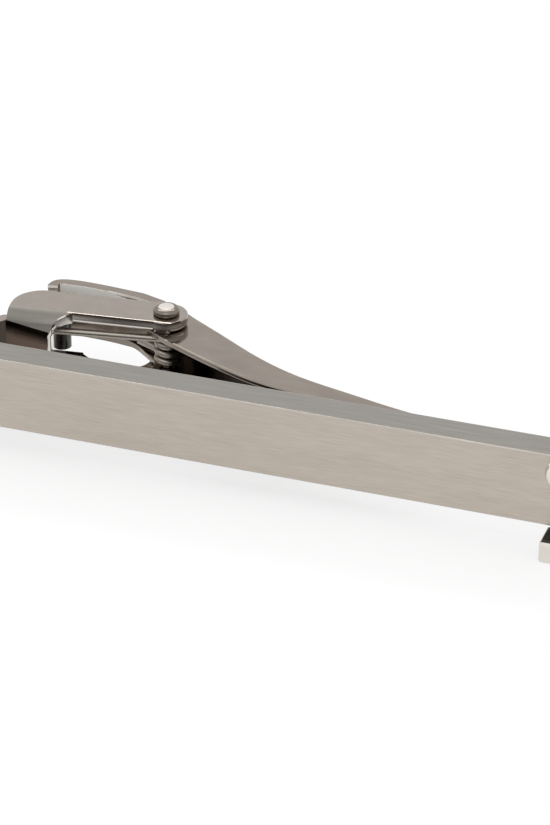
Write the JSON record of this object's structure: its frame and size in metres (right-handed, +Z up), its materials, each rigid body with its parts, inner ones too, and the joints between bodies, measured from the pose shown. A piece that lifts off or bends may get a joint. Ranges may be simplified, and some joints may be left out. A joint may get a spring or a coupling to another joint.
{
  "type": "tie bar",
  "caption": "Slim brushed metal tie bar with a spring-loaded jaw lever riveted to a bent bracket behind it, which pinches a tie against the bar's back.",
  "frame": {"origin": "middle of the bar's back face, where the tie is pinched", "axes": "+X along the bar, to the right seen from the front; +Y out of the bar's back, towards the jaw; +Z up as worn"},
  "size_m": [0.06, 0.0167, 0.0109],
  "materials": {
    "brushed_steel": "satin, brushed along the bar",
    "polished_sheet": "polished dark nickel",
    "pin_steel": "polished",
    "spring_wire": "drawn wire",
    "bright_silver": "polished"
  },
  "bodies": {
    "bar_body": {"bar": "brushed_steel", "bracket": "polished_sheet", "hinge_rivet": "pin_steel", "torsion_spring": "spring_wire", "ornament": "bright_silver"},
    "jaw": {"jaw_lever": "polished_sheet"}
  },
  "joints": [
    {"name": "jaw_hinge", "type": "hinge", "parent": "bar_body", "child": "jaw", "pos_m": [-0.0118, 0.0084, 0], "axis": [0, 0, 1], "range_deg": [0, 11], "stiffness_Nm_per_rad": 0.03, "springref_deg": -57.3, "deforming": ["torsion_spring"]}
  ]
}
